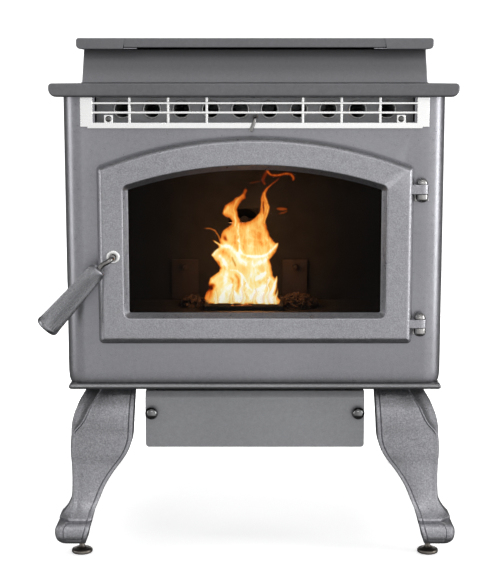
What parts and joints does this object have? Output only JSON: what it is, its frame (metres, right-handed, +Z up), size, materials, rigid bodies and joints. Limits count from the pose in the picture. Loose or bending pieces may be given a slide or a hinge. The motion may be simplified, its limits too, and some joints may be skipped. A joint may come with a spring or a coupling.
{
  "type": "pellet stove",
  "caption": "Free-standing pellet stove: arched cast door with glass, hopper with hinged lid in the top, bright outlet grille over heat-exchanger tubes, ash pan, cabriole legs on levellers.",
  "frame": {"origin": "on the floor, in the middle of the bounding box of the whole stove seen from above, handle included", "axes": "+Z up, front of the stove (door, grille, ash panel) faces -Y, +X to the viewer's right, door hinged at +X"},
  "size_m": [0.6952, 0.7019, 0.876],
  "materials": {
    "cabinet_paint": "satin metallic grey stove paint",
    "top_paint": "satin charcoal grey stove paint",
    "door_cast": "sand-cast face under metallic grey paint",
    "leg_cast": "cast face under metallic grey paint",
    "nickel": "bright nickel plate",
    "hinge_steel": "turned steel",
    "grip_metal": "fine-turned dark grey grip with lengthways lines",
    "level_steel": "oiled dark steel",
    "firebox_black": "matt black heat paint with a little ash",
    "tube_steel": "mill-finish steel",
    "zinc_sheet": "zinc-coated sheet",
    "motor_paint": "semi-gloss dark grey",
    "stove_glass": "clear ceramic stove glass with a light smoke tint",
    "rope_gasket": "woven glass-fibre rope",
    "black_plastic": "moulded, fine texture"
  },
  "bodies": {
    "stove": {"base_plate": "cabinet_paint", "cabinet_front": "cabinet_paint", "left_side_panel": "cabinet_paint", "right_side_panel": "cabinet_paint", "main_top": "top_paint", "hopper_collar": "top_paint", "hopper_top_frame": "top_paint", "rear_panel": "top_paint", "leg_front_left": "leg_cast", "leg_front_right": "leg_cast", "leg_rear_left": "leg_cast", "leg_rear_right": "leg_cast", "grille": "nickel", "hinge_bracket_upper": "hinge_steel", "hinge_bracket_lower": "hinge_steel", "hinge_pin_upper": "hinge_steel", "hinge_pin_lower": "hinge_steel", "grille_screw_left": "hinge_steel", "grille_screw_right": "hinge_steel", "lid_hinge_rod": "hinge_steel", "firebox": "firebox_black", "floor_plate": "firebox_black", "ash_pan_housing": "firebox_black", "heat_exchanger": "tube_steel", "latch_catch": "tube_steel", "igniter": "tube_steel", "hopper_funnel": "zinc_sheet", "auger_tube": "zinc_sheet", "exhaust_blower_housing": "zinc_sheet", "convection_blower_housing": "zinc_sheet", "air_intake_pipe": "zinc_sheet", "auger_motor": "motor_paint", "exhaust_motor": "motor_paint", "power_inlet": "black_plastic", "control_panel": "black_plastic"},
    "door": {"door_frame": "door_cast", "door_glass": "stove_glass", "glass_retainer": "firebox_black", "door_gasket": "rope_gasket", "latch_washer": "nickel"},
    "handle": {"latch_shaft": "nickel", "handle_grip": "grip_metal", "latch_cam": "tube_steel"},
    "lid": {"hopper_lid": "top_paint"},
    "scraper": {"scraper_plate": "tube_steel", "scraper_rod": "hinge_steel"},
    "ash_drawer": {"ash_pan": "cabinet_paint"},
    "thumb_left": {"thumb_screw_left": "nickel"},
    "thumb_right": {"thumb_screw_right": "nickel"},
    "pot": {"burn_pot": "firebox_black"},
    "cover_left": {"cleanout_cover_left": "firebox_black"},
    "cover_right": {"cleanout_cover_right": "firebox_black"},
    "auger_screw": {"auger": "tube_steel"},
    "exhaust_fan": {"exhaust_impeller": "tube_steel"},
    "convection_fan": {"convection_wheel": "tube_steel"},
    "level_fl": {"leveller_front_left": "level_steel"},
    "level_fr": {"leveller_front_right": "level_steel"},
    "level_rl": {"leveller_rear_left": "level_steel"},
    "level_rr": {"leveller_rear_right": "level_steel"},
    "dial": {"heat_dial": "black_plastic"}
  },
  "joints": [
    {"name": "door_swing", "type": "hinge", "parent": "stove", "child": "door", "pos_m": [0.2835, -0.29, 0.51], "axis": [0, 0, 1], "range_deg": [0, 110]},
    {"name": "handle_turn", "type": "hinge", "parent": "door", "child": "handle", "pos_m": [-0.2243, -0.309, 0.5175], "axis": [0, 1, 0], "range_deg": [-42, 80]},
    {"name": "lid_open", "type": "hinge", "parent": "stove", "child": "lid", "pos_m": [0.0085, 0.271, 0.868], "axis": [-1, 0, 0], "range_deg": [0, 95]},
    {"name": "scraper_slide", "type": "slide", "parent": "stove", "child": "scraper", "axis": [0, -1, 0], "range_m": [0, 0.25]},
    {"name": "ash_pan_slide", "type": "slide", "parent": "stove", "child": "ash_drawer", "axis": [0, -1, 0], "range_m": [0, 0.27]},
    {"name": "thumb_screw_left_turn", "type": "hinge", "parent": "ash_drawer", "child": "thumb_left", "pos_m": [-0.1675, -0.259, 0.244], "axis": [0, -1, 0], "continuous": true},
    {"name": "thumb_screw_right_turn", "type": "hinge", "parent": "ash_drawer", "child": "thumb_right", "pos_m": [0.1845, -0.259, 0.244], "axis": [0, -1, 0], "continuous": true},
    {"name": "burn_pot_lift", "type": "slide", "parent": "stove", "child": "pot", "axis": [0, 0, 1], "range_m": [0, 0.075]},
    {"name": "cover_left_lift", "type": "slide", "parent": "stove", "child": "cover_left", "axis": [0, 0, 1], "range_m": [0, 0.03]},
    {"name": "cover_right_lift", "type": "slide", "parent": "stove", "child": "cover_right", "axis": [0, 0, 1], "range_m": [0, 0.03]},
    {"name": "auger_spin", "type": "hinge", "parent": "stove", "child": "auger_screw", "pos_m": [-0.0115, 0.206, 0.44], "axis": [0, -0.7662, 0.6426], "continuous": true},
    {"name": "exhaust_fan_spin", "type": "hinge", "parent": "stove", "child": "exhaust_fan", "pos_m": [0.1635, 0.186, 0.395], "axis": [1, 0, 0], "continuous": true},
    {"name": "convection_fan_spin", "type": "hinge", "parent": "stove", "child": "convection_fan", "pos_m": [-0.1615, 0.211, 0.41], "axis": [1, 0, 0], "continuous": true},
    {"name": "leveller_fl_turn", "type": "hinge", "parent": "stove", "child": "level_fl", "pos_m": [-0.2895, -0.266, 0.01], "axis": [0, 0, 1], "continuous": true},
    {"name": "leveller_fr_turn", "type": "hinge", "parent": "stove", "child": "level_fr", "pos_m": [0.3065, -0.266, 0.01], "axis": [0, 0, 1], "continuous": true},
    {"name": "leveller_rl_turn", "type": "hinge", "parent": "stove", "child": "level_rl", "pos_m": [-0.2895, 0.296, 0.01], "axis": [0, 0, 1], "continuous": true},
    {"name": "leveller_rr_turn", "type": "hinge", "parent": "stove", "child": "level_rr", "pos_m": [0.3065, 0.296, 0.01], "axis": [0, 0, 1], "continuous": true},
    {"name": "heat_dial_turn", "type": "hinge", "parent": "stove", "child": "dial", "pos_m": [0.3235, 0.176, 0.69], "axis": [1, 0, 0], "range_deg": [0, 270]}
  ]
}
